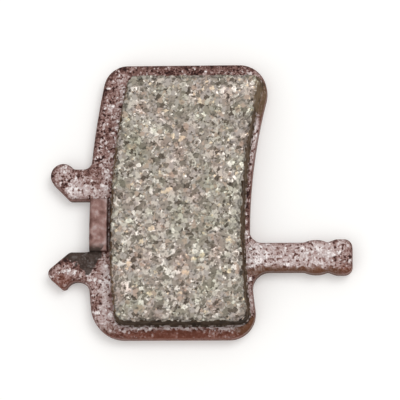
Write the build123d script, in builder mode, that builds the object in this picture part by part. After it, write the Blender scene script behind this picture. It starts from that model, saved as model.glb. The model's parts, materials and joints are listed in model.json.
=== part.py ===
"""A bicycle disc brake pad: a blanked steel backing plate with a moulded friction block keyed into it.

The pad lies on its back face with the friction face up. Z = 0 is the back face, which the caliper
piston pushes on. The origin is the centre of the piston socket, a square hole in the back face. +X points
towards the rotor's axle, along the pull tab, and +Y along the length of the block. Lengths are in
millimetres and angles in degrees.
"""

import os
from math import atan2, cos, radians, sin, sqrt, tan

from build123d import *

# Backing plate, blanked from steel sheet. Its two long edges are arcs that follow the rotor's track.
plate_thickness = 1.8
outer_edge_reach = 11.0  # socket centre to the edge nearest the rotor's rim, at that edge's middle
outer_edge_radius = 92.0
inner_edge_reach = 8.4  # socket centre to the edge nearest the axle, at that edge's middle
inner_edge_radius = 66.0
edge_middle_height = -0.4  # where both arcs have their middle, from the socket centre
plate_top = 19.7
plate_bottom = -13.7
corner_radius_top_outer = 2.9
corner_radius_top_inner = 3.4
corner_radius_bottom_outer = 4.0
corner_radius_bottom_inner = 3.1
rolled_edge_radius = 0.35  # the blanking die rolls the edges of the friction side

# The two ears that locate the pad in its caliper, with a clear gap between them, centred on the socket.
ear_gap = 6.4
ear_root_overlap = 3.0  # how far each ear's outline runs into the plate
upper_ear_neck = 3.75
upper_ear_tip_reach = 3.1  # plate edge to the centre of the round tip
upper_ear_tip_rise = 2.95  # edge of the gap to the centre of the round tip
upper_ear_tip_radius = 1.5
upper_ear_flank_angle = 45.0
upper_ear_knee_radius = 0.7
upper_ear_neck_radius = 0.5
upper_ear_root_radius = 1.0
lower_ear_ledge = 2.15  # flat part of the lower ear's top, from the plate edge
lower_ear_nose_reach = 5.15
lower_ear_nose_drop = 2.55
lower_ear_nose_radius = 0.85
lower_ear_ledge_radius = 0.8
lower_ear_barb_radius = 0.45
hook_radius = 1.5
hook_drop = 4.95  # edge of the gap to the centre of the round hook
hook_sweep = 166.0  # from where the hook leaves the plate's edge to the barb

# The raised band between the ears, half sheared through the sheet towards the friction side.
band_setback = 0.25  # from the plate's edge to the band's outer wall
band_block_gap = 0.1  # from the band's inner wall to the foot of the friction block
band_offset = 0.8
band_edge_radius = 0.25
band_back_chamfer = 0.6

# Pull tab, with a waist that gives the fingers a grip.
tab_height = -3.87  # the tab's centre line, from the socket centre
tab_width = 3.4
tab_reach = 20.7
tab_root_overlap = 3.0
tab_root_radius_upper = 1.6
tab_root_radius_lower = 2.0
grip_bump_length = 2.8
grip_bump_height = 0.32
grip_bump_radius = 1.2  # where the bump leaves the tab's straight side
grip_lobe_length = 1.95
grip_lobe_flank = 1.0
grip_lobe_height = 0.38
grip_lobe_radius = 0.7
grip_lobe_corner_radius = 1.0
grip_waist_radius = 0.5

# Piston socket, and the keying holes that the friction compound fills.
socket_size = 6.0
socket_corner_radius = 1.1
keying_hole_radius = 2.25
keying_hole_pitch = 7.3  # between the two holes of a row
keying_rows = [(0.9, 13.7), (0.0, 7.45), (0.25, -7.4)]  # each row's centre, from the socket centre
plug_clearance = 0.02  # the compound shrinks this much away from each hole's wall
plug_recess = 0.05  # the plugs stop this far short of the back face

# Friction block.
friction_thickness = 2.2
flange_outer = 2.87  # the plate's bare rim on each side of the block, at the middle of its arcs
flange_inner = 0.67
flange_top = 1.6
flange_bottom = 1.6
block_outer_radius = 86.0
block_inner_radius = 74.0
block_draft = 2.0
block_corner_radius_top = 1.1
block_corner_radius_bottom = 1.3
block_edge_chamfer = 0.15
foot_width = 0.3  # the sloping foot of compound that the mould leaves round the block
foot_angle = 45.0

outer_edge_x = -outer_edge_reach
plate_outer_arc = (outer_edge_x, outer_edge_radius)
plate_inner_arc = (inner_edge_reach, inner_edge_radius)
gap_edge = ear_gap / 2


def arc_point(arc, height):
    """The point at a height on an arc, given by its X at its middle and its radius, centred towards +X."""
    middle_x, radius = arc
    return middle_x + radius - sqrt(radius**2 - (height - edge_middle_height) ** 2), height


def vertex_at(sketch, x, y):
    return sketch.vertices().sort_by_distance((x, y, 0))[0]


def track_profile(outer_arc, inner_arc, bottom, top):
    """The closed profile between two arcs, from bottom to top."""
    outer, inner = (
        [arc_point(arc, height) for height in (bottom, edge_middle_height, top)]
        for arc in (outer_arc, inner_arc)
    )
    with BuildSketch() as profile:
        with BuildLine():
            Line(outer[0], inner[0])
            ThreePointArc(*inner)
            Line(inner[2], outer[2])
            ThreePointArc(*reversed(outer))
        make_face()
    return profile.sketch


def keying_circles(radius):
    """A circle at the centre of each keying hole."""
    with BuildSketch() as circles:
        for row_centre in keying_rows:
            with Locations(row_centre):
                with GridLocations(keying_hole_pitch, 0, 2, 1):
                    Circle(radius)
    return circles.sketch


# Plate outline without its ears and tab.
with BuildSketch() as plate_body:
    add(track_profile(plate_outer_arc, plate_inner_arc, plate_bottom, plate_top))
    for height, outer_radius, inner_radius in (
        (plate_top, corner_radius_top_outer, corner_radius_top_inner),
        (plate_bottom, corner_radius_bottom_outer, corner_radius_bottom_inner),
    ):
        fillet(vertex_at(plate_body, *arc_point(plate_outer_arc, height)), radius=outer_radius)
        fillet(vertex_at(plate_body, *arc_point(plate_inner_arc, height)), radius=inner_radius)

# Upper ear: a neck, then a round tip that leans away from the plate between two parallel flanks.
ear_root_x = outer_edge_x + ear_root_overlap
tip_x = outer_edge_x - upper_ear_tip_reach
tip_y = gap_edge + upper_ear_tip_rise
neck_top = gap_edge + upper_ear_neck
flank_offset_x = upper_ear_tip_radius * sin(radians(upper_ear_flank_angle))
flank_offset_y = upper_ear_tip_radius * cos(radians(upper_ear_flank_angle))
flank_slope = tan(radians(upper_ear_flank_angle))
flank_lower = (tip_x - flank_offset_x, tip_y - flank_offset_y)
flank_upper = (tip_x + flank_offset_x, tip_y + flank_offset_y)
knee_lower = (flank_lower[0] + (flank_lower[1] - gap_edge) / flank_slope, gap_edge)
knee_upper = (flank_upper[0] + (flank_upper[1] - neck_top) / flank_slope, neck_top)

with BuildSketch() as upper_ear:
    with BuildLine():
        Polyline((ear_root_x, neck_top), (ear_root_x, gap_edge), knee_lower, flank_lower)
        ThreePointArc(flank_lower, (tip_x - upper_ear_tip_radius, tip_y), flank_upper)
        Polyline(flank_upper, knee_upper, (ear_root_x, neck_top))
    make_face()
    fillet(vertex_at(upper_ear, *knee_lower), radius=upper_ear_knee_radius)
    fillet(vertex_at(upper_ear, *knee_upper), radius=upper_ear_neck_radius)

# Lower ear: a ledge, a nose and a barb, and a round hook that runs smoothly into the plate's edge.
ledge_end = (outer_edge_x - lower_ear_ledge, -gap_edge)
nose = (outer_edge_x - lower_ear_nose_reach, -gap_edge - lower_ear_nose_drop)
hook_y = -gap_edge - hook_drop
hook_x = arc_point((outer_edge_x - hook_radius, outer_edge_radius + hook_radius), hook_y)[0]
hook_start_angle = atan2(edge_middle_height - hook_y, outer_edge_x + outer_edge_radius - hook_x)
hook_start, hook_middle, barb = (
    (hook_x + hook_radius * cos(angle), hook_y + hook_radius * sin(angle))
    for angle in (hook_start_angle + share * radians(hook_sweep) for share in (0, 0.5, 1))
)

with BuildSketch() as lower_ear:
    with BuildLine():
        Polyline((ear_root_x, hook_start[1]), (ear_root_x, -gap_edge), ledge_end, nose, barb)
        ThreePointArc(barb, hook_middle, hook_start)
        Line(hook_start, (ear_root_x, hook_start[1]))
    make_face()
    fillet(vertex_at(lower_ear, *barb), radius=lower_ear_barb_radius)
    fillet(vertex_at(lower_ear, *nose), radius=lower_ear_nose_radius)
    fillet(vertex_at(lower_ear, *ledge_end), radius=lower_ear_ledge_radius)

# Pull tab: one side of it is drawn outwards from its centre line, then mirrored.
tab_side = tab_width / 2
tab_root_x = inner_edge_reach - tab_root_overlap
lobe_x = tab_reach - grip_lobe_length
waist_x = lobe_x - grip_lobe_flank
bump_x = waist_x - grip_bump_length / 2
bump_start = (waist_x - grip_bump_length, tab_side)
waist = (waist_x, tab_side)
lobe_start = (lobe_x, tab_side + grip_lobe_height)
lobe_end = (tab_reach, tab_side + grip_lobe_height)

with BuildSketch(Plane((0, tab_height, 0))) as pull_tab:
    with BuildLine():
        Polyline((tab_root_x, 0), (tab_root_x, tab_side), bump_start)
        ThreePointArc(bump_start, (bump_x, tab_side + grip_bump_height), waist)
        Polyline(waist, lobe_start, lobe_end, (tab_reach, 0), (tab_root_x, 0))
    make_face()
    fillet(vertex_at(pull_tab, *bump_start), radius=grip_bump_radius)
    fillet(vertex_at(pull_tab, *waist), radius=grip_waist_radius)
    fillet(vertex_at(pull_tab, *lobe_start), radius=grip_lobe_radius)
    fillet(vertex_at(pull_tab, *lobe_end), radius=grip_lobe_corner_radius)
    mirror(about=Plane.XZ)

# The whole outline, with the roots of the ears and tab rounded.
with BuildSketch() as plate_outline:
    add(plate_body.sketch)
    add(upper_ear.sketch)
    add(lower_ear.sketch)
    add(pull_tab.sketch)
    fillet(vertex_at(plate_outline, *arc_point(plate_outer_arc, neck_top)), radius=upper_ear_root_radius)
    for side, root_radius in ((tab_side, tab_root_radius_upper), (-tab_side, tab_root_radius_lower)):
        root = arc_point(plate_inner_arc, tab_height + side)
        fillet(vertex_at(plate_outline, *root), radius=root_radius)

# Half-sheared band: the sheet between the ears, moved towards the friction side.
band_width = flange_outer - foot_width - band_block_gap  # from the plate's edge, at its middle
band_inner_x = outer_edge_x + band_width
with BuildPart() as band:
    with BuildSketch(Plane.XY.offset(band_offset)):
        with BuildLine():
            band_wall = [arc_point((outer_edge_x + band_setback, outer_edge_radius), height)
                         for height in (gap_edge, 0, -gap_edge)]
            ThreePointArc(*band_wall)
            Polyline(band_wall[2], (band_inner_x, -gap_edge), (band_inner_x, gap_edge), band_wall[0])
        make_face()
    extrude(amount=plate_thickness)
    chamfer(band.faces().sort_by(Axis.Z)[0].edges().sort_by(Axis.X)[0], length=band_back_chamfer)
    fillet(band.faces().sort_by(Axis.Z)[-1].edges(), radius=band_edge_radius)

with BuildPart() as backing_plate:
    add(plate_outline.sketch)
    extrude(amount=plate_thickness)
    top_edges = backing_plate.faces().sort_by(Axis.Z)[-1].edges()
    gap_floor, *rolled_edges = top_edges.sort_by_distance((outer_edge_x, 0, plate_thickness))
    fillet(rolled_edges, radius=rolled_edge_radius)  # the gap's floor gives way to the band instead
    with BuildSketch():
        with Locations((outer_edge_x, 0)):
            Rectangle(2 * band_width, ear_gap)
    extrude(amount=plate_thickness, mode=Mode.SUBTRACT)
    add(band.part)
    extrude(keying_circles(keying_hole_radius), amount=plate_thickness, mode=Mode.SUBTRACT)
    with BuildSketch():
        RectangleRounded(socket_size, socket_size, socket_corner_radius)
    extrude(amount=plate_thickness, mode=Mode.SUBTRACT)
backing_plate.part.label = "backing_plate"

block_outer_arc = (outer_edge_x + flange_outer, block_outer_radius)
block_inner_arc = (inner_edge_reach - flange_inner, block_inner_radius)
with BuildSketch() as block_profile:
    add(track_profile(block_outer_arc, block_inner_arc, plate_bottom + flange_bottom, plate_top - flange_top))
    fillet(block_profile.vertices().group_by(Axis.Y)[-1], radius=block_corner_radius_top)
    fillet(block_profile.vertices().group_by(Axis.Y)[0], radius=block_corner_radius_bottom)

with BuildPart() as friction_block:
    with BuildSketch(Plane.XY.offset(plate_thickness)):
        add(block_profile.sketch)
    extrude(amount=friction_thickness, taper=block_draft)
    chamfer(friction_block.faces().sort_by(Axis.Z)[-1].edges(), length=block_edge_chamfer)
    with BuildSketch(Plane.XY.offset(plate_thickness)):
        add(block_profile.sketch)
        offset(amount=foot_width)
    extrude(amount=2 * foot_width, taper=foot_angle)  # it slopes up and on into the block
    with BuildSketch(Plane.XY.offset(plug_recess)):
        add(keying_circles(keying_hole_radius - plug_clearance))
    extrude(amount=plate_thickness - plug_recess)
friction_block.part.label = "friction_block"

os.makedirs("parts", exist_ok=True)
export_step(backing_plate.part, "parts/backing_plate.step")
export_step(friction_block.part, "parts/friction_block.step")
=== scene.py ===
"""A bicycle disc brake pad, dressed for its picture: coppered backing plate, friction block and studio.

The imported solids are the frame. The backing plate keeps its solid and gets the finish of blanked steel with
a copper wash. The friction block is modelled again from its solid, with a ground and pitted face. Lengths
in the frame are metres, and the sizes below are given in millimetres.
"""

import json
from functools import partial
from math import radians

import bpy
from bpy.props import FloatProperty, FloatVectorProperty, PointerProperty
from mathutils import Euler, Matrix, Vector
from mathutils.kdtree import KDTree


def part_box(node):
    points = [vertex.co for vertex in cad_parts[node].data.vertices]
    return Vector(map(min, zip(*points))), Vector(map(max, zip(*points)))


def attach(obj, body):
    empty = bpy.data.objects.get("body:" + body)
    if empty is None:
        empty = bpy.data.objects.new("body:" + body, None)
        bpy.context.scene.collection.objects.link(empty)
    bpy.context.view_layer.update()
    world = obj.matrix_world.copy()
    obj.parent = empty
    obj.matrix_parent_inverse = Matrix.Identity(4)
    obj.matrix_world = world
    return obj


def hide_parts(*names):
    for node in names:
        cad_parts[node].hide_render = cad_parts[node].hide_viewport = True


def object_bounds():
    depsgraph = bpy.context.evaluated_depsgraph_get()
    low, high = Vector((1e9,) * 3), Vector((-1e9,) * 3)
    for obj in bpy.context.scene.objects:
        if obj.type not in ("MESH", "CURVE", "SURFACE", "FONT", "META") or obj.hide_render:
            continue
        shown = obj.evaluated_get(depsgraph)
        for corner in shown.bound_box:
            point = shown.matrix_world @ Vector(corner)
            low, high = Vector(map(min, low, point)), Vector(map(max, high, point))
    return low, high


bl_info = {
    "name": "Bicycle Disc Brake Pad",
    "version": (1, 0, 0),
    "blender": (4, 5, 0),
    "location": "View3D > Sidebar > Brake Pad",
    "description": "Finishes the backing plate, models the friction block and sets the studio",
    "category": "Object",
}

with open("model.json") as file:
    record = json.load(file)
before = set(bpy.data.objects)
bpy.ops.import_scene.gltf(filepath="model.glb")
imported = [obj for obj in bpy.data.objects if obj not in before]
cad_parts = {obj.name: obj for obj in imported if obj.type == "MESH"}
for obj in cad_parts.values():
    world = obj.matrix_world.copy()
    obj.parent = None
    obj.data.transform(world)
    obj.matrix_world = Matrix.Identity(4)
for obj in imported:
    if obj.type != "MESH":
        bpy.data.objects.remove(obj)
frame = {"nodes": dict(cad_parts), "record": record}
cad_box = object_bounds()

MM = 0.001
BODY = "root"
PLATE = "backing_plate"
BLOCK = "friction_block"

# Heights of the faces. The pull tab's mount is halfway up the plate's thickness.
mounts = {mount["name"]: Vector(mount["pos_m"]) for mount in frame["record"]["mounts"]}
BACK_FACE = mounts["back_face"].z
PLATE_FACE = 2 * mounts["pull_tab"].z
BAND_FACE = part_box(PLATE)[1].z
FRICTION_FACE = mounts["friction_face"].z
BAND_STEP = BAND_FACE - PLATE_FACE

# Sockets of the mix node, which carries one set for numbers and one for colours.
MIX_FACTOR = 0
NUMBER_A, NUMBER_B, NUMBER_RESULT = 2, 3, 0
COLOUR_A, COLOUR_B, COLOUR_RESULT = 6, 7, 2


def linear(hex_colour):
    """The linear red, green and blue of an sRGB hex colour."""
    channels = (int(hex_colour[start:start + 2], 16) / 255 for start in (1, 3, 5))
    return tuple(c / 12.92 if c <= 0.04045 else ((c + 0.055) / 1.055) ** 2.4 for c in channels)


def length(name, description, millimetres):
    """A length that a user can change, given in millimetres."""
    return FloatProperty(name=name, description=description, default=millimetres * MM, min=0.01 * MM,
                         unit="LENGTH", precision=5)


def colour(name, description, hex_colour):
    """A colour that a user can change, given as an sRGB hex value."""
    return FloatVectorProperty(name=name, description=description, default=linear(hex_colour),
                               subtype="COLOR", size=3, min=0.0, max=1.0)


class PlateFinish(bpy.types.PropertyGroup):
    """Sizes and colours of the coppered backing plate."""

    blotch_size: length("Blotch size", "Spacing of the blotches where the copper wash is thin or thick", 1.4)
    spot_size: length("Spot size", "Spacing of the larger spots", 0.62)
    fleck_size: length("Fleck size", "Spacing of the smaller spots", 0.34)
    spot_bend: length("Spot bend", "How far the outlines of blotches and spots are bent", 0.6)
    grain_size: length("Grain size", "Width of the fine grain that shot blasting leaves", 0.2)
    grain_relief: length("Grain relief", "Depth of the grain and of the fine lines", 0.09)
    pore_size: length("Pore size", "Spacing of the dark pores in the wash", 0.38)
    # The width of the painted shade along the rolled edges.
    edge_shade_width: length("Rim width", "Width of the dark border where the sheet's edge was rolled over", 0.6)
    wander_size: length("Wander size", "Spacing of the waves in the outlines of worn patches", 0.7)
    wander_reach: length("Wander reach", "How far the outlines of worn patches wander", 1.4)
    roll_line: length("Shear line spacing", "Spacing of the upright lines on the blanked walls", 0.14)
    roll_length: length("Shear line length", "Length of the upright lines on the blanked walls", 1.6)
    tear_wave: length("Tear wave", "Height of the waves along the line where the walls begin to tear", 1.1)
    band_cloud: length("Band cloud size", "Width of the slow changes of colour on the half sheared band", 0.9)
    grinding_line: length("Grinding line spacing", "Spacing of the grinding lines on the back", 0.09)
    grinding_length: length("Grinding line length", "Length of the grinding lines on the back", 9)
    # The dark copper is the wash at its darkest, and also the painted shade on the rolled edges.
    dark: colour("Dark copper", "Copper wash in the hollows and on the rolled edges", "#331c1a")
    brown: colour("Copper brown", "Copper wash as it covers most of the plate", "#68463f")
    rose: colour("Rose", "Copper wash that has begun to wear", "#8e6d66")
    thin: colour("Thin wash", "Copper wash that has worn thin", "#b09a96")
    pale: colour("Pale pink", "Steel that shows through a worn wash", "#cec1bf")
    bright: colour("Bright fleck", "Steel polished at the tops of the grain", "#ebe3e1")
    wall: colour("Wall copper", "Reddish copper on the burnished part of the walls", "#804936")
    torn: colour("Torn wall", "Darker copper where the walls were torn", "#593528")
    band: colour("Band copper", "Smooth copper on the half sheared band", "#987770")
    steel: colour("Ground steel", "Bare steel of the ground back", "#ded9d0")
    steel_dark: colour("Grinding line", "Bare steel at the bottom of a grinding line", "#a9a299")
    steel_bright: colour("Bright steel", "Bare steel at the top of a grinding line", "#f3f0ea")
    stain: colour("Stain", "Dark heat stain on the lower ear", "#40352f")
    scorch: colour("Scorch", "Olive brown scorch on the plate beside the block's top corner", "#725c45")
    # Rusty tinge at the bottom corners; under the pull tab the same colour is painted warm light.
    rust_and_warm_light: colour("Rust", "Rusty tinge at the bottom corners and under the tab", "#67412a")


class BlockFinish(bpy.types.PropertyGroup):
    """Sizes and colours of the moulded friction block."""

    remesh_size: length("Mesh size", "Spacing of the block's mesh", 0.13)
    pit_size: length("Pit size", "Spacing of the pits that grinding tears in the face", 0.34)
    pit_depth: length("Pit depth", "Depth of the pits that grinding tears in the face", 0.07)
    crumb_size: length("Crumb size", "Spacing of the gaps in the crumbled edge", 0.7)
    crumble_depth: length("Crumble depth", "Depth to which the face's edge has crumbled", 0.28)
    crumble_width: length("Crumble width", "How far in from its edge the face has crumbled", 0.55)
    wave_size: length("Wave size", "Spacing of the waves on the moulded walls", 0.9)
    wall_relief: length("Wall relief", "Unevenness of the moulded walls", 0.09)
    plug_relief: length("Plug relief", "Depth of the pits in the ends of the plugs", 0.03)
    chip_size: length("Chip size", "Width of the coarse chips in the compound", 0.52)
    grit_size: length("Grit size", "Width of the fine grit in the compound", 0.26)
    tear_size: length("Tear size", "Spacing of the teeth in the torn outlines of grains", 0.3)
    tear_reach: length("Tear reach", "How far the outlines of grains are torn", 0.5)
    dust_size: length("Dust size", "Width of the specks of grinding dust", 0.12)
    grain_relief: length("Grain relief", "Relief finer than the mesh, of grain tops and dust", 0.03)
    cloud_size: length("Cloud size", "Width of the slow changes of colour through the compound", 2.6)
    patch_size: length("Patch size", "Width of the rubbed patches on the moulded walls", 0.9)
    speck_size: length("Speck size", "Spacing of the pale specks on the block's foot", 0.5)
    chip_share: FloatProperty(name="Share of chips", description="Share of the face that is coarse chips",
                              default=0.5, subtype="FACTOR", min=0.0, max=1.0)
    binder: colour("Binder", "Grey binder between the chips", "#9f9489")
    filler: colour("Filler", "Darker filler in the binder", "#7e766a")
    mineral: colour("Mineral", "Light grey mineral grains", "#b4aba4")
    chalk: colour("Chalk", "Pale mineral grains", "#d2c9bd")
    tan: colour("Tan", "Pinkish tan fibre and rubber", "#b9a494")
    bright: colour("Metal chip", "Bright metal chips", "#f3ebe1")
    brass: colour("Brass chip", "Brass chips", "#e6d3b8")
    graphite: colour("Graphite", "Dark graphite grains", "#574c41")
    cool_tint: colour("Cool tint", "Multiplies the grains' colours where the mixture is greener", "#eff6eb")
    warm_tint: colour("Warm tint", "Multiplies the grains' colours where the mixture is redder", "#fff2f0")
    skin: colour("Skin", "Scorched skin on the moulded walls", "#3f2e1f")
    skin_brown: colour("Brown skin", "Skin where the mould scorched it less", "#6c543e")
    skin_worn: colour("Worn skin", "Compound where the scorched skin is rubbed", "#8f7964")
    speck: colour("Speck", "Pale specks of plating salt on the block's foot", "#9d8f8c")
    singe: colour("Singe", "Olive brown scorch on the block's wall at its top corner", "#705d47")
    plug: colour("Plug", "Compound where it fills the keying holes and the socket", "#4a4138")


class StudioSettings(bpy.types.PropertyGroup):
    """The floor, the lights and the camera."""

    elevation: FloatProperty(name="Elevation", description="Camera height above the floor, as an angle",
                             default=radians(78.6), subtype="ANGLE")
    lean: FloatProperty(name="Lean", description="How far the camera stands to the pad's right, as an angle",
                        default=radians(4.5), subtype="ANGLE")
    azimuth: FloatProperty(name="Azimuth", description="How far the camera is turned about the pad",
                           default=radians(-0.4), subtype="ANGLE")
    distance: length("Distance", "From the camera to the middle of the pad", 357.8)
    share: FloatProperty(name="Share of the frame", description="Width of the pad over width of the picture",
                         default=0.76, subtype="FACTOR", min=0.1, max=1.0)
    floor: colour("Floor", "Matt white floor", "#f6f5f3")
    tooth: length("Paper tooth", "Spacing of the floor paper's slight unevenness", 0.6)
    tooth_relief: length("Paper relief", "Depth of the floor paper's slight unevenness", 0.02)
    glow: FloatProperty(name="Paper glow", description="Strength of the light through the floor paper",
                        default=0.12)
    key_power: FloatProperty(name="Key light", description="Power of the large soft light overhead",
                             default=0.5, unit="POWER")
    fill_power: FloatProperty(name="Fill light", description="Power of the fill light at the front",
                              default=0.14, unit="POWER")
    sky: FloatProperty(name="Surrounding light", description="Strength of the white surroundings",
                       default=0.72)


# Wear of the copper wash, with some painted light: centre and half size in millimetres, and how much paler
# the plate is there. Where the amount is below zero, the wash is whole and dark. The paler pull tab and
# middle of the upper ear are partly painted highlight, and the darker top flange is painted shade.
WEAR_AND_PAINTED_LIGHT = {
    # The pull tab is paler partly as painted highlight.
    "pull tab": ((14.6, -3.9), (7.2, 3.0), 0.22),
    "middle of the pull tab": ((13.6, -4.1), (2.6, 0.9), 0.05),
    "end of the pull tab": ((19.6, -4.4), (1.2, 1.8), -0.12),
    "tab root": ((8.9, -4.2), (1.6, 2.6), 0.12),
    "lower left flange": ((-9.3, -8.2), (1.7, 4.6), 0.13),
    "lower left flange, by the block": ((-8.8, -7.6), (0.4, 3.8), 0.14),
    "lower left flange, by the edge": ((-9.8, -7.9), (0.4, 3.4), -0.05),
    "bottom left corner": ((-8.0, -12.2), (2.6, 1.3), 0.08),
    "bottom flange, by the block": ((0.5, -12.45), (7.5, 0.25), 0.22),
    "bottom flange, by the edge": ((0.5, -13.2), (9.0, 0.5), -0.24),
    # The middle of the upper ear is paler partly as painted highlight.
    "middle of the upper ear": ((-12.1, 4.2), (1.7, 1.2), 0.27),
    "root of the upper ear": ((-9.4, 3.9), (1.0, 1.2), 0.20),
    "flange by the upper ear": ((-8.9, 6.4), (0.5, 1.8), 0.16),
    "tip of the upper ear": ((-14.1, 6.4), (1.1, 1.0), 0.18),
    "tip of the lower ear": ((-14.1, -6.0), (1.6, 1.2), 0.02),
    "slope of the lower ear": ((-13.8, -4.1), (1.3, 0.6), -0.20),
    # Painted shade along the top flange.
    "top flange": ((0.8, 19.0), (9.5, 0.9), -0.12),
    "top left corner, by the block": ((-7.2, 17.7), (0.6, 1.0), 0.18),
    "upper left flange": ((-8.9, 13.5), (1.6, 5.0), -0.04),
    "upper right flange": ((9.2, 9.8), (0.9, 3.6), 0.34),
    "right flange": ((8.1, 0.2), (0.8, 4.5), -0.06),
    "lower right flange": ((8.5, -9.0), (0.8, 2.2), 0.24),
}

# The V of the heat stain on the lower ear, in millimetres. It fades in from its top edge downwards.
STAIN_TIP = Vector((-10.6, -6.1))
STAIN_LEFT = Vector((-13.6, -3.75))
STAIN_RIGHT = Vector((-8.8, -2.6))
STAIN_BLUR = 0.12
STAIN_TOP, STAIN_WHOLE = -2.3, -2.9

# Discoloured patches: centre and half size in millimetres, and strength. The scorch lies on the plate, and
# the singe on the block's wall beside it. The red patches are painted warm light: the copper red of the
# walls, laid on the edges that face down. The rusty tinge at the bottom corners is real, and under the pull
# tab it is painted warm light as well.
SCORCH = [((9.7, 15.4), (1.0, 2.1), 0.8)]
SINGE = [((9.45, 15.5), (0.55, 2.0), 0.85)]
# Rusty tinge at the two bottom corners, and a strip of painted warm light along the pull tab's lower edge.
RUST_AND_WARM_LIGHT = [
    ((8.4, -12.3), (1.7, 1.1), 0.95), ((-8.2, -12.5), (1.0, 0.7), 0.25), ((13.5, -5.7), (6.5, 0.66), 0.85),
]
# Painted warm light on the edges that face down: the plate's bottom edge and the undersides of the tab and
# the lower ear.
PAINTED_WARM_LIGHT = [
    ((0.5, -13.3), (8.5, 0.6), 0.6), ((16.6, -5.7), (0.9, 0.5), 0.6), ((20.0, -5.5), (0.8, 0.5), 0.6),
    ((-14.1, -6.8), (1.3, 1.0), 0.4),
]

# A patch is whole out to the first share of its half size, and is gone at the second.
PATCH_WHOLE, PATCH_GONE = 0.6, 1.35

# Heights on the plate's walls, in millimetres, with the waves of the tear line added: where tearing starts
# and is whole, and where the marks of heat have faded out and are whole.
TEAR_START, TEAR_WHOLE = 1.55, 1.2
MARK_GONE, MARK_WHOLE = 1.2, 2.3

# Depths below the plate's face, in millimetres, between which its rolled edge is darkened with painted shade.
ROLL_END, ROLL_START = 0.45, 0.1

# The outer edge of the half sheared band, in millimetres, where its painted shade begins and is darkest.
BAND_CLEAR, BAND_EDGE = -9.6, -10.2

# The block's skin gets painted shade towards the bottom and the right: it is darkest from the first of each
# pair outwards, and plain from the second inwards, in millimetres.
BOTTOM_DARK, BOTTOM_CLEAR = -11.9, -10.6
RIGHT_DARK, RIGHT_CLEAR = 7.4, 6.4

# Heights above the plate, in millimetres: where the pale specks at the block's foot are gone and are whole,
# and where the compound begins to take the colour of the plugs.
SPECK_GONE, SPECK_WHOLE = 0.3, 0.18
PLUG_TOP = 0.1

# Depths below the ground face, in millimetres: where a pit's painted shade begins, then the least and the
# greatest depth of the skin's ragged upper line, and half the width over which that line fades.
PIT_START = 0.008
SKIN_NEAR, SKIN_FAR, SKIN_BLUR = 0.08, 0.5, 0.05

# Each grain of the compound draws a number from 0 to 1. Above these it is metal, and bright metal.
METAL_DRAW = 0.91
BRIGHT_DRAW = 0.93

# A vertex is on the ground face where its normal's height is over the first, and at the edge of that face
# where it is between the two.
LEVEL, STEEP = 0.9, 0.15

# The foot of the block's walls stays smooth up to this height above the plate, in millimetres. The edge at
# the block's top end has crumbled to this share of the depth elsewhere.
SMOOTH_FOOT = 0.5
TOP_END_CRUMBLE = 0.4

# Places of the lights from the middle of the pad, and their widths, in millimetres.
LIGHTS = {
    "key": ((140, 150, 340), 260),
    "fill": ((-220, -200, 260), 300),
}
FLOOR_WIDTH = 4000
NEAR_CLIP = 10


def add_node(material, kind, inputs=None, stops=None, blend="LINEAR", **settings):
    """Adds a node, sets or links its inputs, gives a colour ramp its stops, and returns its outputs."""
    tree = material.node_tree
    node = tree.nodes.new(kind)
    for name, value in settings.items():
        setattr(node, name, value)
    for socket, value in (inputs or {}).items():
        if isinstance(value, bpy.types.NodeSocket):
            tree.links.new(value, node.inputs[socket])
        else:
            node.inputs[socket].default_value = value
    if stops:
        node.color_ramp.interpolation = blend
        elements = node.color_ramp.elements
        for _ in stops[2:]:
            elements.new(1.0)
        for element, (position, rgb) in zip(elements, stops):
            element.position = position
            element.color = (*rgb, 1.0)
    return node.outputs


def new_material(name):
    """An empty node material."""
    material = bpy.data.materials.new(name)
    material.use_nodes = True
    material.node_tree.nodes.clear()
    return material


def area_sum(node, place, areas):
    """The sum of soft edged masks, each given by its centre and half size in millimetres and its amount."""
    total = 0.0
    for (centre_x, centre_y), (half_x, half_y), amount in areas:
        local = node("ShaderNodeMapping", {
            "Vector": place,
            "Location": (-centre_x / half_x, -centre_y / half_y, 0),
            "Scale": (1 / (half_x * MM), 1 / (half_y * MM), 0),
        })["Vector"]
        reach = node("ShaderNodeVectorMath", {0: local}, operation="LENGTH")["Value"]
        mask = node("ShaderNodeMapRange", {
            "Value": reach, "From Min": PATCH_GONE, "From Max": PATCH_WHOLE, "To Max": amount,
        }, interpolation_type="SMOOTHSTEP")["Result"]
        total = node("ShaderNodeMath", {0: mask, 1: total}, operation="ADD")["Value"]
    return total


def half_plane(node, place, start, end, inside):
    """A mask that is 1 on the inside point's side of the line from start to end, in millimetres."""
    along = (end - start).normalized()
    across = Vector((-along.y, along.x))
    if (inside - start).dot(across) < 0:
        across.negate()
    distance = node("ShaderNodeVectorMath", {0: place, 1: (*across, 0)}, operation="DOT_PRODUCT")["Value"]
    edge = start.dot(across)
    return node("ShaderNodeMapRange", {
        "Value": distance, "From Min": (edge - STAIN_BLUR) * MM, "From Max": (edge + STAIN_BLUR) * MM,
    }, interpolation_type="SMOOTHSTEP")["Result"]


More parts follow.
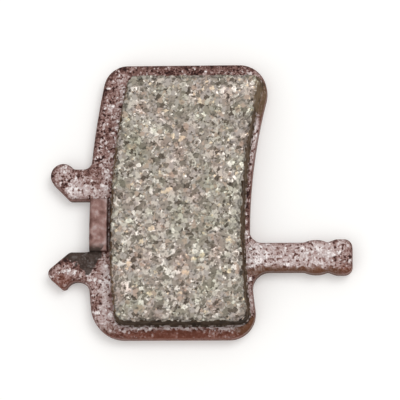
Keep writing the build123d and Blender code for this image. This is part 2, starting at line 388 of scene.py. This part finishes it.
def copper_wash(node, finish, place, offset, warped, grain, edge_shade):
    """Copper wash with thin and thick spots and dark pores, over the grain of the blasted steel.

    It is pushed up to pale steel where it is worn and where a highlight is painted, and down to dark copper
    near the edges and on the top flange as painted shade. Returns its colour, its speckle, and its level,
    from 0 where it is thick and dark to 1 where the steel is bright.
    """
    # Patches of wear in the wash, with painted highlight on the pull tab and upper ear and painted shade on
    # the top flange.
    worn = area_sum(node, warped, WEAR_AND_PAINTED_LIGHT.values())
    bent = node("ShaderNodeVectorMath", {0: offset, 1: (finish.spot_bend,) * 3, 2: place},
                operation="MULTIPLY_ADD")["Vector"]
    speckle = node("ShaderNodeMapRange", {
        "Value": grain, "From Min": 0.3, "From Max": 0.7, "To Min": -0.2, "To Max": 0.2,
    }, clamp=False)["Result"]
    spots = ((finish.blotch_size, 0.5), (finish.spot_size, 0.95), (finish.fleck_size, 0.75))
    for spacing, strength in spots:
        cells = node("ShaderNodeTexVoronoi", {"Vector": bent, "Scale": 1 / spacing})
        tone = node("ShaderNodeSeparateColor", {0: cells["Color"]})["Red"]
        tone = node("ShaderNodeMapRange", {
            "Value": tone, "To Min": -0.42 * strength, "To Max": 0.58 * strength})["Result"]
        fade = node("ShaderNodeMapRange", {"Value": cells["Distance"], "From Min": 0.65, "From Max": 0.15},
                    interpolation_type="SMOOTHSTEP")["Result"]
        speckle = node("ShaderNodeMath", {0: tone, 1: fade, 2: speckle}, operation="MULTIPLY_ADD")["Value"]
    pores = node("ShaderNodeTexNoise", {"Vector": place, "Scale": 1 / finish.pore_size, "Detail": 2})["Fac"]
    pores = node("ShaderNodeMapRange", {
        "Value": pores, "From Min": 0.57, "From Max": 0.66, "To Max": -0.5})["Result"]
    calm = node("ShaderNodeMapRange", {
        "Value": worn, "From Max": 0.25, "To Min": 1.15, "To Max": 0.6})["Result"]
    level = node("ShaderNodeMath", {0: speckle, 1: calm, 2: worn}, operation="MULTIPLY_ADD")["Value"]
    level = node("ShaderNodeMath", {0: level, 1: pores}, operation="ADD")["Value"]
    # Painted shade: near the edges the wash is pushed down to dark copper.
    shade = node("ShaderNodeMath", {0: edge_shade, 1: -0.65, 2: 0.49}, operation="MULTIPLY_ADD")["Value"]
    level = node("ShaderNodeMath", {0: level, 1: shade}, operation="ADD")["Value"]
    washed = node("ShaderNodeValToRGB", {"Fac": level}, stops=[
        (0.0, finish.dark), (0.28, finish.brown), (0.48, finish.rose), (0.66, finish.thin),
        (0.84, finish.pale), (1.0, finish.bright)])["Color"]
    return washed, speckle, level


def blanked_wall(node, finish, place, height, wavy_height, grain):
    """Wall burnished by the die, with upright lines, with painted shade at the rolled edge, and torn towards
    the back.

    Returns its colour, its upright lines, and the mask of its torn part.
    """
    lines = node("ShaderNodeMapping", {
        "Vector": place,
        "Scale": (1 / finish.roll_line, 1 / finish.roll_line, 1 / finish.roll_length),
    })["Vector"]
    shear = node("ShaderNodeTexNoise", {"Vector": lines, "Scale": 1, "Detail": 3})["Fac"]
    burnished = node("ShaderNodeValToRGB", {"Fac": shear}, stops=[
        (0.3, finish.brown), (0.5, finish.wall), (0.75, finish.rose)])["Color"]
    fracture = node("ShaderNodeValToRGB", {"Fac": grain}, stops=[
        (0.3, finish.dark), (0.5, finish.torn), (0.72, finish.wall)])["Color"]
    torn = node("ShaderNodeMapRange", {
        "Value": wavy_height, "From Min": TEAR_START * MM, "From Max": TEAR_WHOLE * MM,
        "To Max": 0.85})["Result"]
    sheared = node("ShaderNodeMix", {MIX_FACTOR: torn, COLOUR_A: burnished, COLOUR_B: fracture},
                   data_type="RGBA")[COLOUR_RESULT]
    # Painted shade: the wall turns to dark copper towards the rolled edge.
    rolled = node("ShaderNodeMapRange", {
        "Value": height, "From Min": PLATE_FACE - ROLL_END * MM, "From Max": PLATE_FACE - ROLL_START * MM,
        "To Max": 0.5})["Result"]
    surface = node("ShaderNodeMix", {MIX_FACTOR: rolled, COLOUR_A: sheared, COLOUR_B: (*finish.dark, 1)},
                   data_type="RGBA")[COLOUR_RESULT]
    return surface, shear, torn


def rubbed_band(node, finish, place, across, edge_shade):
    """Colour of the half sheared band: rubbed smooth by the tool, with painted shade on its edges and along
    its outer side.
    """
    cloud = node("ShaderNodeTexNoise", {"Vector": place, "Scale": 1 / finish.band_cloud, "Detail": 4})["Fac"]
    outer = node("ShaderNodeMapRange", {
        "Value": across, "From Min": BAND_CLEAR * MM, "From Max": BAND_EDGE * MM, "To Max": -0.3})["Result"]
    # The cloud is the band's rubbed colour; the edges and the outer side get painted shade on top of it.
    rubbed = node("ShaderNodeMath", {0: edge_shade, 1: outer, 2: cloud}, operation="MULTIPLY_ADD")["Value"]
    return node("ShaderNodeValToRGB", {"Fac": rubbed}, stops=[
        (0.1, finish.dark), (0.26, finish.brown), (0.5, finish.band), (0.9, finish.pale)])["Color"]


def heat_stain(node, warped):
    """The mask of the dark V on the lower ear."""
    inside = (STAIN_LEFT + STAIN_RIGHT) / 2
    left_arm = half_plane(node, warped, STAIN_TIP, STAIN_LEFT, inside)
    right_arm = half_plane(node, warped, STAIN_TIP, STAIN_RIGHT, inside)
    top = node("ShaderNodeMapRange", {
        "Value": node("ShaderNodeSeparateXYZ", {0: warped})["Y"],
        "From Min": STAIN_TOP * MM, "From Max": STAIN_WHOLE * MM, "To Max": 0.93})["Result"]
    stain = node("ShaderNodeMath", {0: left_arm, 1: right_arm}, operation="MULTIPLY")["Value"]
    return node("ShaderNodeMath", {0: stain, 1: top}, operation="MULTIPLY")["Value"]


def coppered_steel(finish):
    """Low carbon steel sheet, blanked, shot blasted and copper washed, then ground on its back.

    The wash is satin and rose brown. The grain's tops have worn to pale steel, so the plate looks speckled,
    and its rolled edges are darkened with painted shade. The walls are redder and have upright shear lines.
    """
    material = new_material("coppered_blanked_steel")
    node = partial(add_node, material)
    coordinates = node("ShaderNodeTexCoord")
    place = coordinates["Object"]
    position = node("ShaderNodeSeparateXYZ", {0: place})
    height = position["Z"]
    facing = node("ShaderNodeSeparateXYZ", {0: coordinates["Normal"]})["Z"]

    # Which way the surface faces, and how near an edge is: there a ray into the metal soon comes out again.
    # Nearness to an edge gives the rolled edges painted shade.
    wall = node("ShaderNodeMapRange", {"Value": facing, "From Min": 0.8, "From Max": 0.3},
                interpolation_type="SMOOTHSTEP")["Result"]
    underneath = node("ShaderNodeMapRange", {"Value": facing, "From Min": -0.4, "From Max": -0.6})["Result"]
    enclosed = node("ShaderNodeAmbientOcclusion", {"Distance": finish.edge_shade_width},
                    samples=8, inside=True, only_local=True)["AO"]
    edge_shade = node("ShaderNodeMapRange", {"Value": enclosed, "From Min": 0.9, "From Max": 0.58})["Result"]
    on_band = node("ShaderNodeMapRange", {
        "Value": height, "From Min": PLATE_FACE, "From Max": PLATE_FACE + 0.2 * BAND_STEP})["Result"]
    in_recess = node("ShaderNodeMapRange", {
        "Value": height, "From Min": BACK_FACE + 0.7 * BAND_STEP, "From Max": BACK_FACE + 0.9 * BAND_STEP,
    })["Result"]

    # Places wander a little, so that no patch has a drawn edge.
    wander = node("ShaderNodeTexNoise", {
        "Vector": place, "Scale": 1 / finish.wander_size, "Detail": 3})["Color"]
    offset = node("ShaderNodeVectorMath", {0: wander, 1: (0.5, 0.5, 0.5)}, operation="SUBTRACT")["Vector"]
    warped = node("ShaderNodeVectorMath", {0: offset, 1: (finish.wander_reach,) * 3, 2: place},
                  operation="MULTIPLY_ADD")["Vector"]
    sway = node("ShaderNodeTexNoise", {"Vector": place, "Scale": 1 / finish.tear_wave, "Detail": 4})["Fac"]
    wavy_height = node("ShaderNodeMath", {0: sway, 1: finish.tear_wave, 2: height},
                       operation="MULTIPLY_ADD")["Value"]

    grain = node("ShaderNodeTexNoise", {
        "Vector": place, "Scale": 1 / finish.grain_size, "Detail": 3, "Roughness": 0.6})["Fac"]
    washed, speckle, level = copper_wash(node, finish, place, offset, warped, grain, edge_shade)
    wall_colour, shear, torn = blanked_wall(node, finish, place, height, wavy_height, grain)
    band_colour = rubbed_band(node, finish, place, position["X"], edge_shade)
    upright = node("ShaderNodeMath", {0: on_band, 1: wall}, operation="MULTIPLY")["Value"]
    band_top = node("ShaderNodeMath", {0: on_band, 1: upright}, operation="SUBTRACT")["Value"]

    # The marks of heat fade down the walls.
    heated = node("ShaderNodeMapRange", {
        "Value": wavy_height, "From Min": MARK_GONE * MM, "From Max": MARK_WHOLE * MM})["Result"]
    stain = node("ShaderNodeMath", {0: heat_stain(node, warped), 1: heated}, operation="MULTIPLY")["Value"]
    scorch = node("ShaderNodeMath", {0: area_sum(node, warped, SCORCH), 1: heated},
                  operation="MULTIPLY")["Value"]

    # The back is ground bare, with fine straight lines, and so is the band's chamfer. The recess behind the
    # band keeps its copper.
    grinding = node("ShaderNodeMapping", {
        "Vector": place, "Rotation": (0, 0, radians(12)),
        "Scale": (1 / finish.grinding_line, 1 / finish.grinding_length, 1 / finish.grinding_length),
    })["Vector"]
    scratch = node("ShaderNodeTexNoise", {
        "Vector": grinding, "Scale": 1, "Detail": 4, "Roughness": 0.7})["Fac"]
    steel = node("ShaderNodeValToRGB", {"Fac": scratch}, stops=[
        (0.25, finish.steel_dark), (0.5, finish.steel), (0.8, finish.steel_bright)])["Color"]
    outside_recess = node("ShaderNodeMath", {0: 1.0, 1: in_recess}, operation="SUBTRACT")["Value"]
    ground = node("ShaderNodeMath", {0: underneath, 1: outside_recess}, operation="MULTIPLY")["Value"]

    surface = washed
    # Among these layers, the red patches and the strip of rusty tinge under the pull tab are painted warm
    # light on edges that face down.
    for mask, layer in (
        (wall, wall_colour), (band_top, band_colour), (stain, (*finish.stain, 1)),
        (scorch, (*finish.scorch, 1)), (area_sum(node, warped, PAINTED_WARM_LIGHT), (*finish.wall, 1)),
        (area_sum(node, warped, RUST_AND_WARM_LIGHT), (*finish.rust_and_warm_light, 1)), (ground, steel),
    ):
        surface = node("ShaderNodeMix", {MIX_FACTOR: mask, COLOUR_A: surface, COLOUR_B: layer},
                       data_type="RGBA")[COLOUR_RESULT]

    # Relief: the grain on the front, the shear lines on the walls, the grinding lines on the back.
    relief = speckle
    wall_relief = node("ShaderNodeMix", {MIX_FACTOR: torn, NUMBER_A: shear, NUMBER_B: grain},
                       data_type="FLOAT")[NUMBER_RESULT]
    for mask, pattern in ((wall, wall_relief), (ground, scratch)):
        relief = node("ShaderNodeMix", {MIX_FACTOR: mask, NUMBER_A: relief, NUMBER_B: pattern},
                      data_type="FLOAT")[NUMBER_RESULT]
    depth = node("ShaderNodeMapRange", {"Value": band_top, "To Min": 1.0, "To Max": 0.25})["Result"]
    normal = node("ShaderNodeBump", {
        "Height": relief, "Strength": depth, "Distance": finish.grain_relief})["Normal"]

    polish = node("ShaderNodeMapRange", {
        "Value": level, "From Min": 0.2, "From Max": 1.0, "To Min": 0.6, "To Max": 0.36})["Result"]
    roughness = node("ShaderNodeMix", {MIX_FACTOR: ground, NUMBER_A: polish, NUMBER_B: 0.33},
                     data_type="FLOAT")[NUMBER_RESULT]
    shader = node("ShaderNodeBsdfPrincipled", {
        "Base Color": surface, "Metallic": 0.7, "Roughness": roughness, "Normal": normal})["BSDF"]
    node("ShaderNodeOutputMaterial", {"Surface": shader})
    return material


def bound_grains(node, finish, bent):
    """Chips over grit: each cell draws its own colour, and a second draw says whether a chip shows there.

    Returns the grains' colour, a mask of those that are metal, and how far each of them rises.
    """
    grains, metal, rise = (*finish.binder, 1), 0.0, 0.0
    for size, share in ((finish.grit_size, 1.0), (finish.chip_size, finish.chip_share)):
        cells = node("ShaderNodeTexVoronoi", {"Vector": bent, "Scale": 1 / size})["Color"]
        draw = node("ShaderNodeSeparateColor", {0: cells})
        colours = node("ShaderNodeValToRGB", {"Fac": draw["Red"]}, blend="CONSTANT", stops=[
            (0.0, finish.graphite), (0.06, finish.filler), (0.22, finish.binder), (0.46, finish.mineral),
            (0.66, finish.tan), (0.74, finish.chalk), (METAL_DRAW, finish.brass),
            (BRIGHT_DRAW, finish.bright)])["Color"]
        shiny = node("ShaderNodeMath", {0: draw["Red"], 1: METAL_DRAW}, operation="GREATER_THAN")["Value"]
        shows = node("ShaderNodeMath", {0: draw["Green"], 1: share}, operation="LESS_THAN")["Value"]
        grains = node("ShaderNodeMix", {MIX_FACTOR: shows, COLOUR_A: grains, COLOUR_B: colours},
                      data_type="RGBA")[COLOUR_RESULT]
        metal = node("ShaderNodeMix", {MIX_FACTOR: shows, NUMBER_A: metal, NUMBER_B: shiny},
                     data_type="FLOAT")[NUMBER_RESULT]
        rise = node("ShaderNodeMix", {MIX_FACTOR: shows, NUMBER_A: rise, NUMBER_B: draw["Blue"]},
                    data_type="FLOAT")[NUMBER_RESULT]
    return grains, metal, rise


def moulded_skin(node, finish, position, patch):
    """Colour of the skin that the hot mould scorched, rubbed in patches, with painted shade towards the
    bottom and the right.
    """
    skin = node("ShaderNodeValToRGB", {"Fac": patch}, stops=[
        (0.36, finish.skin), (0.5, finish.skin_brown), (0.7, finish.skin_worn)])["Color"]
    shaded_below = node("ShaderNodeMapRange", {
        "Value": position["Y"], "From Min": BOTTOM_DARK * MM, "From Max": BOTTOM_CLEAR * MM,
        "To Min": 0.3})["Result"]
    shaded_right = node("ShaderNodeMapRange", {
        "Value": position["X"], "From Min": RIGHT_DARK * MM, "From Max": RIGHT_CLEAR * MM,
        "To Min": 0.55})["Result"]
    # Painted shade: the skin darkens towards the block's bottom and right walls.
    for scorched in (shaded_below, shaded_right):
        skin = node("ShaderNodeVectorMath", {0: skin, "Scale": scorched}, operation="SCALE")["Vector"]
    return skin


def foot_specks(node, finish, place, height):
    """The mask of the pale specks on the foot of the walls. There are none on the plugs in the plate."""
    foot = node("ShaderNodeMapRange", {
        "Value": height, "From Min": PLATE_FACE + SPECK_GONE * MM,
        "From Max": PLATE_FACE + SPECK_WHOLE * MM})["Result"]
    clear = node("ShaderNodeMath", {0: height, 1: PLATE_FACE}, operation="GREATER_THAN")["Value"]
    specks = node("ShaderNodeTexNoise", {"Vector": place, "Scale": 1 / finish.speck_size, "Detail": 3})["Fac"]
    specks = node("ShaderNodeMapRange", {"Value": specks, "From Min": 0.5, "From Max": 0.6})["Result"]
    for mask in (foot, clear):
        specks = node("ShaderNodeMath", {0: specks, 1: mask}, operation="MULTIPLY")["Value"]
    return specks


def semi_metallic_compound(finish):
    """Friction compound: resin bound fibres, graphite, minerals and metal chips, moulded hot and then ground.

    The ground face is a close mosaic of dull greys and tans with glints of metal, and its pits get painted
    shade. The moulded walls keep a scorched, nearly black skin, with painted shade towards the bottom and the
    right. The compound is porous, so it reflects less than resin.
    """
    material = new_material("moulded_semi_metallic_compound")
    node = partial(add_node, material)
    place = node("ShaderNodeTexCoord")["Object"]
    position = node("ShaderNodeSeparateXYZ", {0: place})
    height = position["Z"]

    # Grain outlines are torn, so the cells are bent by a fine noise.
    tear = node("ShaderNodeTexNoise", {"Vector": place, "Scale": 1 / finish.tear_size, "Detail": 2})["Color"]
    offset = node("ShaderNodeVectorMath", {0: tear, 1: (0.5, 0.5, 0.5)}, operation="SUBTRACT")["Vector"]
    bent = node("ShaderNodeVectorMath", {0: offset, 1: (finish.tear_reach,) * 3, 2: place},
                operation="MULTIPLY_ADD")["Vector"]
    grains, metal, rise = bound_grains(node, finish, bent)

    # Slow clouds of grey green and warm grey run through the mixture, and grinding dust evens the grains out.
    cloud = node("ShaderNodeTexNoise", {"Vector": place, "Scale": 1 / finish.cloud_size, "Detail": 2})["Fac"]
    tint = node("ShaderNodeValToRGB", {"Fac": cloud}, stops=[
        (0.3, finish.cool_tint), (0.5, (1.0, 1.0, 1.0)), (0.7, finish.warm_tint)])["Color"]
    grains = node("ShaderNodeVectorMath", {0: grains, 1: tint}, operation="MULTIPLY")["Vector"]
    dust = node("ShaderNodeTexNoise", {"Vector": place, "Scale": 1 / finish.dust_size, "Detail": 3})["Fac"]
    dusty = node("ShaderNodeMapRange", {
        "Value": dust, "From Min": 0.4, "From Max": 0.7, "To Min": 0.0, "To Max": 0.4})["Result"]
    grains = node("ShaderNodeMix", {MIX_FACTOR: dusty, COLOUR_A: grains, COLOUR_B: (*finish.binder, 1)},
                  data_type="RGBA")[COLOUR_RESULT]

    # Pits get painted shade, but the crumbled edge is deeper and lies open to the light, so its painted shade
    # is lighter.
    sunk = node("ShaderNodeMapRange", {
        "Value": height, "From Min": FRICTION_FACE - PIT_START * MM,
        "From Max": FRICTION_FACE - 3 * finish.pit_depth})["Result"]
    shadow = node("ShaderNodeValToRGB", {"Fac": sunk}, stops=[
        (0.0, (1.0,) * 3), (0.33, (0.38,) * 3), (0.5, (0.5,) * 3), (0.85, (0.85,) * 3)])["Color"]
    grains = node("ShaderNodeVectorMath", {0: grains, 1: shadow}, operation="MULTIPLY")["Vector"]

    # Below the ground face lies the skin, along a ragged line. Its scorched top corner is mottled.
    patch = node("ShaderNodeTexNoise", {
        "Vector": place, "Scale": 1 / finish.patch_size, "Detail": 6, "Roughness": 0.7})["Fac"]
    worn_down = node("ShaderNodeMapRange", {
        "Value": patch, "From Min": 0.35, "From Max": 0.65, "To Min": SKIN_NEAR * MM,
        "To Max": SKIN_FAR * MM})["Result"]
    ragged = node("ShaderNodeMath", {0: height, 1: worn_down}, operation="ADD")["Value"]
    face = node("ShaderNodeMapRange", {
        "Value": ragged, "From Min": FRICTION_FACE - SKIN_BLUR * MM,
        "From Max": FRICTION_FACE + SKIN_BLUR * MM})["Result"]
    below = node("ShaderNodeMath", {0: 1.0, 1: face}, operation="SUBTRACT")["Value"]
    mottle = node("ShaderNodeMapRange", {
        "Value": patch, "From Min": 0.38, "From Max": 0.56, "To Min": 0.2})["Result"]
    singed = node("ShaderNodeMath", {0: area_sum(node, bent, SINGE), 1: mottle},
                  operation="MULTIPLY")["Value"]
    in_plate = node("ShaderNodeMapRange", {
        "Value": height, "From Min": PLATE_FACE + PLUG_TOP * MM, "From Max": PLATE_FACE,
        "To Max": 0.65})["Result"]
    plug = node("ShaderNodeMath", {0: below, 1: in_plate}, operation="MULTIPLY")["Value"]

    surface = grains
    for mask, layer in (
        (below, moulded_skin(node, finish, position, patch)),
        (foot_specks(node, finish, place, height), (*finish.speck, 1)),
        (singed, (*finish.singe, 1)), (plug, (*finish.plug, 1)),
    ):
        surface = node("ShaderNodeMix", {MIX_FACTOR: mask, COLOUR_A: surface, COLOUR_B: layer},
                       data_type="RGBA")[COLOUR_RESULT]

    # Relief finer than the mesh: grain tops and dust. Only the metal chips of the face shine.
    relief = node("ShaderNodeMix", {MIX_FACTOR: 0.5, NUMBER_A: rise, NUMBER_B: dust},
                  data_type="FLOAT")[NUMBER_RESULT]
    normal = node("ShaderNodeBump", {
        "Height": relief, "Strength": 0.6, "Distance": finish.grain_relief})["Normal"]
    chips = node("ShaderNodeMath", {0: metal, 1: face}, operation="MULTIPLY")["Value"]
    roughness = node("ShaderNodeMapRange", {"Value": chips, "To Min": 0.82, "To Max": 0.38})["Result"]
    metallic = node("ShaderNodeMath", {0: chips, 1: 0.7}, operation="MULTIPLY")["Value"]
    shader = node("ShaderNodeBsdfPrincipled", {
        "Base Color": surface, "Metallic": metallic, "Roughness": roughness, "Specular IOR Level": 0.25,
        "Normal": normal})["BSDF"]
    node("ShaderNodeOutputMaterial", {"Surface": shader})
    return material


def matt_paper(studio):
    """Seamless studio paper: plain, matt, very slightly uneven, and lit a little through from below."""
    material = new_material("studio_paper")
    node = partial(add_node, material)
    place = node("ShaderNodeTexCoord")["Object"]
    tooth = node("ShaderNodeTexNoise", {"Vector": place, "Scale": 1 / studio.tooth, "Detail": 3})["Fac"]
    normal = node("ShaderNodeBump", {
        "Height": tooth, "Strength": 0.1, "Distance": studio.tooth_relief})["Normal"]
    shader = node("ShaderNodeBsdfPrincipled", {
        "Base Color": (*studio.floor, 1), "Roughness": 0.9, "Normal": normal,
        "Emission Color": (1, 1, 1, 1), "Emission Strength": studio.glow})["BSDF"]
    node("ShaderNodeOutputMaterial", {"Surface": shader})
    return material


def only_active(piece):
    """Selects one object and makes it active."""
    bpy.ops.object.select_all(action="DESELECT")
    piece.select_set(True)
    bpy.context.view_layer.objects.active = piece


def dress(piece, material):
    """Gives a piece one material all over."""
    piece.data.materials.clear()
    piece.data.materials.append(material)


def apply_modifier(piece, kind, name, **settings):
    """Adds a modifier with its settings and applies it."""
    modifier = piece.modifiers.new(name, kind)
    for setting, value in settings.items():
        setattr(modifier, setting, value)
    bpy.ops.object.modifier_apply(modifier=modifier.name)


def relief_texture(name, size, low, high):
    """A cloudy texture that is 1 on whole ground and falls to 0 in its pits."""
    texture = bpy.data.textures.new(name, "CLOUDS")
    texture.noise_scale = size
    texture.use_color_ramp = True
    start, end = texture.color_ramp.elements
    start.position, end.position = low, high
    start.color, end.color = (0, 0, 0, 1), (1, 1, 1, 1)
    return texture


def wear_groups(block, crumble_width):
    """Vertex groups for what wears differently: the face, its edge, the walls and the plugs' ends."""
    groups = {name: block.vertex_groups.new(name=name) for name in ("face", "edge", "wall", "plug ends")}
    vertices = block.data.vertices
    upper = [vertex for vertex in vertices if vertex.co.z > PLATE_FACE + SMOOTH_FOOT * MM]
    brink = [vertex.co for vertex in upper if STEEP < vertex.normal.z <= LEVEL]
    nearest = KDTree(len(brink))
    for index, point in enumerate(brink):
        nearest.insert(point, index)
    nearest.balance()
    top_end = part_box(BLOCK)[1].y - crumble_width
    for vertex in upper:
        part = "face" if vertex.normal.z > LEVEL else "wall"
        groups[part].add([vertex.index], 1.0, "REPLACE")
        reach = 1 - nearest.find(vertex.co)[2] / crumble_width
        if reach > 0:
            share = TOP_END_CRUMBLE if vertex.co.y > top_end else 1.0
            groups["edge"].add([vertex.index], reach * share, "REPLACE")
    for vertex in vertices:
        if vertex.normal.z < -LEVEL:
            groups["plug ends"].add([vertex.index], 1.0, "REPLACE")


class PAD_OT_finish_backing_plate(bpy.types.Operator):
    """Give the backing plate its coppered and ground finish"""

    bl_idname = "brake_pad.finish_backing_plate"
    bl_label = "Finish Backing Plate"

    def execute(self, context):
        dress(frame["nodes"][PLATE], coppered_steel(context.scene.pad_plate))
        return {"FINISHED"}


class PAD_OT_mould_friction_block(bpy.types.Operator):
    """Model the friction block again from its solid, with a pitted face and uneven walls"""

    bl_idname = "brake_pad.mould_friction_block"
    bl_label = "Mould Friction Block"

    def execute(self, context):
        finish = context.scene.pad_block
        block = bpy.data.objects.new("moulded_friction_block", frame["nodes"][BLOCK].data.copy())
        context.scene.collection.objects.link(block)
        only_active(block)
        bpy.ops.object.mode_set(mode="EDIT")
        bpy.ops.mesh.select_all(action="SELECT")
        bpy.ops.mesh.remove_doubles(threshold=0.001 * MM)
        bpy.ops.object.mode_set(mode="OBJECT")
        apply_modifier(block, "REMESH", "Even mesh", mode="VOXEL", voxel_size=finish.remesh_size,
                       use_smooth_shade=True)

        wear_groups(block, finish.crumble_width)
        pits = relief_texture("pits", finish.pit_size, 0.30, 0.46)
        crumbs = relief_texture("crumbs", finish.crumb_size, 0.38, 0.56)
        waves = relief_texture("waves", finish.wave_size, 0.1, 0.9)
        for name, texture, group, depth in (
            ("Pits", pits, "face", finish.pit_depth),
            ("Crumbled edge", crumbs, "edge", finish.crumble_depth),
            ("Uneven wall", waves, "wall", finish.wall_relief),
            ("Rough plug", pits, "plug ends", finish.plug_relief),
        ):
            apply_modifier(block, "DISPLACE", name, texture=texture, vertex_group=group, strength=depth,
                           mid_level=1.0, texture_coords="LOCAL")
        dress(block, semi_metallic_compound(finish))
        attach(block, BODY)
        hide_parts(BLOCK)
        return {"FINISHED"}


class PAD_OT_set_studio(bpy.types.Operator):
    """Set the white floor, the soft lights and the camera at the photograph's angle"""

    bl_idname = "brake_pad.set_studio"
    bl_label = "Set Studio"

    def execute(self, context):
        studio = context.scene.pad_studio
        low, high = (Vector(corner) for corner in cad_box)
        centre = (low + high) / 2

        bpy.ops.object.select_all(action="DESELECT")
        bpy.ops.mesh.primitive_plane_add(size=FLOOR_WIDTH * MM, location=(0, 0, 0))
        floor = context.object
        floor.name = "studio_floor"
        floor.data.transform(Matrix.Translation((0, 0, BACK_FACE)))
        dress(floor, matt_paper(studio))

        for name, (offset, width) in LIGHTS.items():
            place = centre + Vector(offset) * MM
            turn = (centre - place).to_track_quat("-Z", "Y").to_euler()
            bpy.ops.object.light_add(type="AREA", location=place, rotation=turn)
            light = context.object
            light.name = f"{name}_light"
            light.data.shape = "DISK"
            light.data.size = width * MM
            light.data.energy = getattr(studio, f"{name}_power")

        world = bpy.data.worlds.new("white_surroundings")
        world.use_nodes = True
        surroundings = world.node_tree.nodes["Background"].inputs
        surroundings["Color"].default_value = (1, 1, 1, 1)
        surroundings["Strength"].default_value = studio.sky
        context.scene.world = world
        context.scene.view_settings.view_transform = "Standard"

        # The camera stands over the pad at the photograph's angle, and the pad fills its share of the frame.
        turn = Euler((radians(90) - studio.elevation, studio.lean, studio.azimuth), "YXZ").to_matrix()
        place = centre + turn @ Vector((0, 0, studio.distance))
        bpy.ops.object.camera_add(location=place, rotation=turn.to_euler())
        camera = context.object
        camera.data.clip_start = NEAR_CLIP * MM
        picture_width = (high.x - low.x) / studio.share
        camera.data.lens = camera.data.sensor_width * studio.distance / picture_width
        context.scene.camera = camera
        return {"FINISHED"}


class PAD_PT_panel(bpy.types.Panel):
    """Lists the pad's pieces and the studio"""

    bl_idname = "PAD_PT_panel"
    bl_label = "Disc Brake Pad"
    bl_space_type = "VIEW_3D"
    bl_region_type = "UI"
    bl_category = "Brake Pad"

    def draw(self, context):
        for operator, settings in STEPS:
            box = self.layout.box()
            box.operator(operator.bl_idname)
            group = getattr(context.scene, settings)
            for name in group.bl_rna.properties.keys():
                if name not in ("rna_type", "name"):
                    box.prop(group, name)


STEPS = (
    (PAD_OT_set_studio, "pad_studio"),
    (PAD_OT_finish_backing_plate, "pad_plate"),
    (PAD_OT_mould_friction_block, "pad_block"),
)
SETTINGS = {"pad_studio": StudioSettings, "pad_plate": PlateFinish, "pad_block": BlockFinish}
CLASSES = (*SETTINGS.values(), *(operator for operator, _ in STEPS), PAD_PT_panel)


def register():
    for cls in CLASSES:
        bpy.utils.register_class(cls)
    for name, group in SETTINGS.items():
        setattr(bpy.types.Scene, name, PointerProperty(type=group))


def unregister():
    for name in SETTINGS:
        delattr(bpy.types.Scene, name)
    for cls in reversed(CLASSES):
        bpy.utils.unregister_class(cls)


def main():
    """Builds the look in order."""
    register()
    bpy.ops.brake_pad.set_studio()
    bpy.ops.brake_pad.finish_backing_plate()
    bpy.ops.brake_pad.mould_friction_block()


if __name__ == "__main__":
    main()
